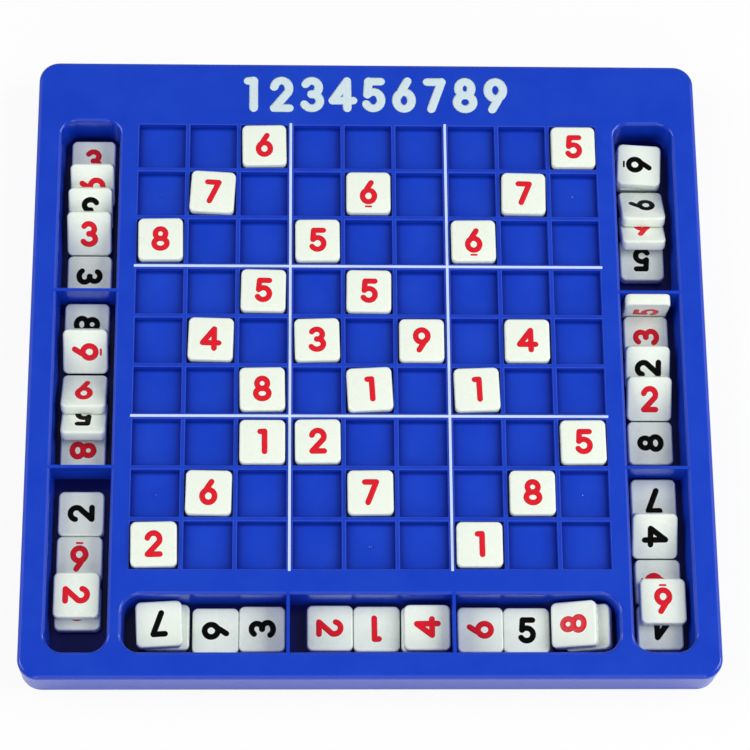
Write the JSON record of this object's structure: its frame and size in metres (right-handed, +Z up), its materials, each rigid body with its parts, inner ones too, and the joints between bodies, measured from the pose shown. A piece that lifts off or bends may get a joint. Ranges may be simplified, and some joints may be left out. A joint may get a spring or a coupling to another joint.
{
  "type": "sudoku board",
  "caption": "Square-grid number puzzle board: a blue moulded tray with shallow pockets, deep side and front troughs with dividers, and white square tiles with red and black digits",
  "frame": {"origin": "Middle of the underside: under the centre of the board, on the table that it stands on.", "axes": "X runs to the right along the board's longer side, Y runs to the back, where the title strip is, and Z points up out of the playing face."},
  "size_m": [0.2354, 0.2246, 0.0182],
  "materials": {
    "blue_plastic": "glossy moulded blue plastic",
    "white_print": "white printed line",
    "white_plastic": "smooth white plastic with printed digits"
  },
  "bodies": {
    "board": {"tray": "blue_plastic", "box_lines": "white_print"},
    "front_left_tiles_1_2": {"front_left_tiles_1_2": "white_plastic"},
    "front_left_tiles_3_4": {"front_left_tiles_3_4": "white_plastic"},
    "front_middle_tiles_1_2": {"front_middle_tiles_1_2": "white_plastic"},
    "front_middle_tiles_3_4": {"front_middle_tiles_3_4": "white_plastic"},
    "front_right_tile_3": {"front_right_tile_3": "white_plastic"},
    "front_right_tile_4": {"front_right_tile_4": "white_plastic"},
    "front_right_tiles_1_2": {"front_right_tiles_1_2": "white_plastic"},
    "grid_tile_r1_c3": {"grid_tile_r1_c3": "white_plastic"},
    "grid_tile_r1_c9": {"grid_tile_r1_c9": "white_plastic"},
    "grid_tile_r2_c2": {"grid_tile_r2_c2": "white_plastic"},
    "grid_tile_r2_c5": {"grid_tile_r2_c5": "white_plastic"},
    "grid_tile_r2_c8": {"grid_tile_r2_c8": "white_plastic"},
    "grid_tile_r3_c1": {"grid_tile_r3_c1": "white_plastic"},
    "grid_tile_r3_c4": {"grid_tile_r3_c4": "white_plastic"},
    "grid_tile_r3_c7": {"grid_tile_r3_c7": "white_plastic"},
    "grid_tile_r4_c3": {"grid_tile_r4_c3": "white_plastic"},
    "grid_tile_r4_c5": {"grid_tile_r4_c5": "white_plastic"},
    "grid_tile_r5_c2": {"grid_tile_r5_c2": "white_plastic"},
    "grid_tile_r5_c4": {"grid_tile_r5_c4": "white_plastic"},
    "grid_tile_r5_c6": {"grid_tile_r5_c6": "white_plastic"},
    "grid_tile_r5_c8": {"grid_tile_r5_c8": "white_plastic"},
    "grid_tile_r6_c3": {"grid_tile_r6_c3": "white_plastic"},
    "grid_tile_r6_c5": {"grid_tile_r6_c5": "white_plastic"},
    "grid_tile_r6_c7": {"grid_tile_r6_c7": "white_plastic"},
    "grid_tile_r7_c3": {"grid_tile_r7_c3": "white_plastic"},
    "grid_tile_r7_c4": {"grid_tile_r7_c4": "white_plastic"},
    "grid_tile_r7_c9": {"grid_tile_r7_c9": "white_plastic"},
    "grid_tile_r8_c2": {"grid_tile_r8_c2": "white_plastic"},
    "grid_tile_r8_c5": {"grid_tile_r8_c5": "white_plastic"},
    "grid_tile_r8_c8": {"grid_tile_r8_c8": "white_plastic"},
    "grid_tile_r9_c1": {"grid_tile_r9_c1": "white_plastic"},
    "grid_tile_r9_c7": {"grid_tile_r9_c7": "white_plastic"},
    "left_back_tile_1": {"left_back_tile_1": "white_plastic"},
    "left_back_tile_2": {"left_back_tile_2": "white_plastic"},
    "left_back_tile_3": {"left_back_tile_3": "white_plastic"},
    "left_back_tile_4": {"left_back_tile_4": "white_plastic"},
    "left_back_tile_5": {"left_back_tile_5": "white_plastic"},
    "left_front_tile_1": {"left_front_tile_1": "white_plastic"},
    "left_front_tile_4": {"left_front_tile_4": "white_plastic"},
    "left_front_tiles_2_3": {"left_front_tiles_2_3": "white_plastic"},
    "left_middle_tile_1": {"left_middle_tile_1": "white_plastic"},
    "left_middle_tile_2": {"left_middle_tile_2": "white_plastic"},
    "left_middle_tile_3": {"left_middle_tile_3": "white_plastic"},
    "left_middle_tile_4": {"left_middle_tile_4": "white_plastic"},
    "left_middle_tile_5": {"left_middle_tile_5": "white_plastic"},
    "right_back_tile_3": {"right_back_tile_3": "white_plastic"},
    "right_back_tile_4": {"right_back_tile_4": "white_plastic"},
    "right_back_tile_5": {"right_back_tile_5": "white_plastic"},
    "right_back_tiles_1_2": {"right_back_tiles_1_2": "white_plastic"},
    "right_front_tile_1": {"right_front_tile_1": "white_plastic"},
    "right_front_tile_2": {"right_front_tile_2": "white_plastic"},
    "right_front_tile_5": {"right_front_tile_5": "white_plastic"},
    "right_front_tiles_3_4": {"right_front_tiles_3_4": "white_plastic"},
    "right_middle_tile_1": {"right_middle_tile_1": "white_plastic"},
    "right_middle_tile_2": {"right_middle_tile_2": "white_plastic"},
    "right_middle_tile_3": {"right_middle_tile_3": "white_plastic"},
    "right_middle_tile_4": {"right_middle_tile_4": "white_plastic"},
    "right_middle_tile_5": {"right_middle_tile_5": "white_plastic"}
  },
  "joints": [
    {"name": "front_left_tiles_1_2_lift", "type": "slide", "parent": "board", "child": "front_left_tiles_1_2", "axis": [0, 0, 1], "range_m": [0, 0.03]},
    {"name": "front_left_tiles_3_4_lift", "type": "slide", "parent": "board", "child": "front_left_tiles_3_4", "axis": [0, 0, 1], "range_m": [0, 0.03]},
    {"name": "front_middle_tiles_1_2_lift", "type": "slide", "parent": "board", "child": "front_middle_tiles_1_2", "axis": [0, 0, 1], "range_m": [0, 0.03]},
    {"name": "front_middle_tiles_3_4_lift", "type": "slide", "parent": "board", "child": "front_middle_tiles_3_4", "axis": [0, 0, 1], "range_m": [0, 0.03]},
    {"name": "front_right_tile_3_lift", "type": "slide", "parent": "front_right_tile_4", "child": "front_right_tile_3", "axis": [0, 0, 1], "range_m": [0, 0.03]},
    {"name": "front_right_tile_4_lift", "type": "slide", "parent": "board", "child": "front_right_tile_4", "axis": [0, 0, 1], "range_m": [0, 0.03]},
    {"name": "front_right_tiles_1_2_lift", "type": "slide", "parent": "board", "child": "front_right_tiles_1_2", "axis": [0, 0, 1], "range_m": [0, 0.03]},
    {"name": "grid_tile_r1_c3_lift", "type": "slide", "parent": "board", "child": "grid_tile_r1_c3", "axis": [0, 0, 1], "range_m": [0, 0.03]},
    {"name": "grid_tile_r1_c9_lift", "type": "slide", "parent": "board", "child": "grid_tile_r1_c9", "axis": [0, 0, 1], "range_m": [0, 0.03]},
    {"name": "grid_tile_r2_c2_lift", "type": "slide", "parent": "board", "child": "grid_tile_r2_c2", "axis": [0, 0, 1], "range_m": [0, 0.03]},
    {"name": "grid_tile_r2_c5_lift", "type": "slide", "parent": "board", "child": "grid_tile_r2_c5", "axis": [0, 0, 1], "range_m": [0, 0.03]},
    {"name": "grid_tile_r2_c8_lift", "type": "slide", "parent": "board", "child": "grid_tile_r2_c8", "axis": [0, 0, 1], "range_m": [0, 0.03]},
    {"name": "grid_tile_r3_c1_lift", "type": "slide", "parent": "board", "child": "grid_tile_r3_c1", "axis": [0, 0, 1], "range_m": [0, 0.03]},
    {"name": "grid_tile_r3_c4_lift", "type": "slide", "parent": "board", "child": "grid_tile_r3_c4", "axis": [0, 0, 1], "range_m": [0, 0.03]},
    {"name": "grid_tile_r3_c7_lift", "type": "slide", "parent": "board", "child": "grid_tile_r3_c7", "axis": [0, 0, 1], "range_m": [0, 0.03]},
    {"name": "grid_tile_r4_c3_lift", "type": "slide", "parent": "board", "child": "grid_tile_r4_c3", "axis": [0, 0, 1], "range_m": [0, 0.03]},
    {"name": "grid_tile_r4_c5_lift", "type": "slide", "parent": "board", "child": "grid_tile_r4_c5", "axis": [0, 0, 1], "range_m": [0, 0.03]},
    {"name": "grid_tile_r5_c2_lift", "type": "slide", "parent": "board", "child": "grid_tile_r5_c2", "axis": [0, 0, 1], "range_m": [0, 0.03]},
    {"name": "grid_tile_r5_c4_lift", "type": "slide", "parent": "board", "child": "grid_tile_r5_c4", "axis": [0, 0, 1], "range_m": [0, 0.03]},
    {"name": "grid_tile_r5_c6_lift", "type": "slide", "parent": "board", "child": "grid_tile_r5_c6", "axis": [0, 0, 1], "range_m": [0, 0.03]},
    {"name": "grid_tile_r5_c8_lift", "type": "slide", "parent": "board", "child": "grid_tile_r5_c8", "axis": [0, 0, 1], "range_m": [0, 0.03]},
    {"name": "grid_tile_r6_c3_lift", "type": "slide", "parent": "board", "child": "grid_tile_r6_c3", "axis": [0, 0, 1], "range_m": [0, 0.03]},
    {"name": "grid_tile_r6_c5_lift", "type": "slide", "parent": "board", "child": "grid_tile_r6_c5", "axis": [0, 0, 1], "range_m": [0, 0.03]},
    {"name": "grid_tile_r6_c7_lift", "type": "slide", "parent": "board", "child": "grid_tile_r6_c7", "axis": [0, 0, 1], "range_m": [0, 0.03]},
    {"name": "grid_tile_r7_c3_lift", "type": "slide", "parent": "board", "child": "grid_tile_r7_c3", "axis": [0, 0, 1], "range_m": [0, 0.03]},
    {"name": "grid_tile_r7_c4_lift", "type": "slide", "parent": "board", "child": "grid_tile_r7_c4", "axis": [0, 0, 1], "range_m": [0, 0.03]},
    {"name": "grid_tile_r7_c9_lift", "type": "slide", "parent": "board", "child": "grid_tile_r7_c9", "axis": [0, 0, 1], "range_m": [0, 0.03]},
    {"name": "grid_tile_r8_c2_lift", "type": "slide", "parent": "board", "child": "grid_tile_r8_c2", "axis": [0, 0, 1], "range_m": [0, 0.03]},
    {"name": "grid_tile_r8_c5_lift", "type": "slide", "parent": "board", "child": "grid_tile_r8_c5", "axis": [0, 0, 1], "range_m": [0, 0.03]},
    {"name": "grid_tile_r8_c8_lift", "type": "slide", "parent": "board", "child": "grid_tile_r8_c8", "axis": [0, 0, 1], "range_m": [0, 0.03]},
    {"name": "grid_tile_r9_c1_lift", "type": "slide", "parent": "board", "child": "grid_tile_r9_c1", "axis": [0, 0, 1], "range_m": [0, 0.03]},
    {"name": "grid_tile_r9_c7_lift", "type": "slide", "parent": "board", "child": "grid_tile_r9_c7", "axis": [0, 0, 1], "range_m": [0, 0.03]},
    {"name": "left_back_tile_1_lift", "type": "slide", "parent": "board", "child": "left_back_tile_1", "axis": [0, 0, 1], "range_m": [0, 0.03]},
    {"name": "left_back_tile_2_lift", "type": "slide", "parent": "left_back_tile_1", "child": "left_back_tile_2", "axis": [0, 0, 1], "range_m": [0, 0.03]},
    {"name": "left_back_tile_3_lift", "type": "slide", "parent": "left_back_tile_2", "child": "left_back_tile_3", "axis": [0, 0, 1], "range_m": [0, 0.03]},
    {"name": "left_back_tile_4_lift", "type": "slide", "parent": "left_back_tile_3", "child": "left_back_tile_4", "axis": [0, 0, 1], "range_m": [0, 0.03]},
    {"name": "left_back_tile_5_lift", "type": "slide", "parent": "board", "child": "left_back_tile_5", "axis": [0, 0, 1], "range_m": [0, 0.03]},
    {"name": "left_front_tile_1_lift", "type": "slide", "parent": "board", "child": "left_front_tile_1", "axis": [0, 0, 1], "range_m": [0, 0.03]},
    {"name": "left_front_tile_4_lift", "type": "slide", "parent": "left_front_tiles_2_3", "child": "left_front_tile_4", "axis": [0, 0, 1], "range_m": [0, 0.03]},
    {"name": "left_front_tiles_2_3_lift", "type": "slide", "parent": "board", "child": "left_front_tiles_2_3", "axis": [0, 0, 1], "range_m": [0, 0.03]},
    {"name": "left_middle_tile_1_lift", "type": "slide", "parent": "board", "child": "left_middle_tile_1", "axis": [0, 0, 1], "range_m": [0, 0.03]},
    {"name": "left_middle_tile_2_lift", "type": "slide", "parent": "left_middle_tile_1", "child": "left_middle_tile_2", "axis": [0, 0, 1], "range_m": [0, 0.03]},
    {"name": "left_middle_tile_3_lift", "type": "slide", "parent": "left_middle_tile_4", "child": "left_middle_tile_3", "axis": [0, 0, 1], "range_m": [0, 0.03]},
    {"name": "left_middle_tile_4_lift", "type": "slide", "parent": "left_middle_tile_5", "child": "left_middle_tile_4", "axis": [0, 0, 1], "range_m": [0, 0.03]},
    {"name": "left_middle_tile_5_lift", "type": "slide", "parent": "board", "child": "left_middle_tile_5", "axis": [0, 0, 1], "range_m": [0, 0.03]},
    {"name": "right_back_tile_3_lift", "type": "slide", "parent": "right_back_tile_4", "child": "right_back_tile_3", "axis": [0, 0, 1], "range_m": [0, 0.03]},
    {"name": "right_back_tile_4_lift", "type": "slide", "parent": "right_back_tile_5", "child": "right_back_tile_4", "axis": [0, 0, 1], "range_m": [0, 0.03]},
    {"name": "right_back_tile_5_lift", "type": "slide", "parent": "board", "child": "right_back_tile_5", "axis": [0, 0, 1], "range_m": [0, 0.03]},
    {"name": "right_back_tiles_1_2_lift", "type": "slide", "parent": "board", "child": "right_back_tiles_1_2", "axis": [0, 0, 1], "range_m": [0, 0.03]},
    {"name": "right_front_tile_1_lift", "type": "slide", "parent": "board", "child": "right_front_tile_1", "axis": [0, 0, 1], "range_m": [0, 0.03]},
    {"name": "right_front_tile_2_lift", "type": "slide", "parent": "right_front_tile_1", "child": "right_front_tile_2", "axis": [0, 0, 1], "range_m": [0, 0.03]},
    {"name": "right_front_tile_5_lift", "type": "slide", "parent": "right_front_tiles_3_4", "child": "right_front_tile_5", "axis": [0, 0, 1], "range_m": [0, 0.03]},
    {"name": "right_front_tiles_3_4_lift", "type": "slide", "parent": "board", "child": "right_front_tiles_3_4", "axis": [0, 0, 1], "range_m": [0, 0.03]},
    {"name": "right_middle_tile_1_lift", "type": "slide", "parent": "board", "child": "right_middle_tile_1", "axis": [0, 0, 1], "range_m": [0, 0.03]},
    {"name": "right_middle_tile_2_lift", "type": "slide", "parent": "board", "child": "right_middle_tile_2", "axis": [0, 0, 1], "range_m": [0, 0.03]},
    {"name": "right_middle_tile_3_lift", "type": "slide", "parent": "right_middle_tile_2", "child": "right_middle_tile_3", "axis": [0, 0, 1], "range_m": [0, 0.03]},
    {"name": "right_middle_tile_4_lift", "type": "slide", "parent": "right_middle_tile_3", "child": "right_middle_tile_4", "axis": [0, 0, 1], "range_m": [0, 0.03]},
    {"name": "right_middle_tile_5_lift", "type": "slide", "parent": "board", "child": "right_middle_tile_5", "axis": [0, 0, 1], "range_m": [0, 0.03]}
  ]
}
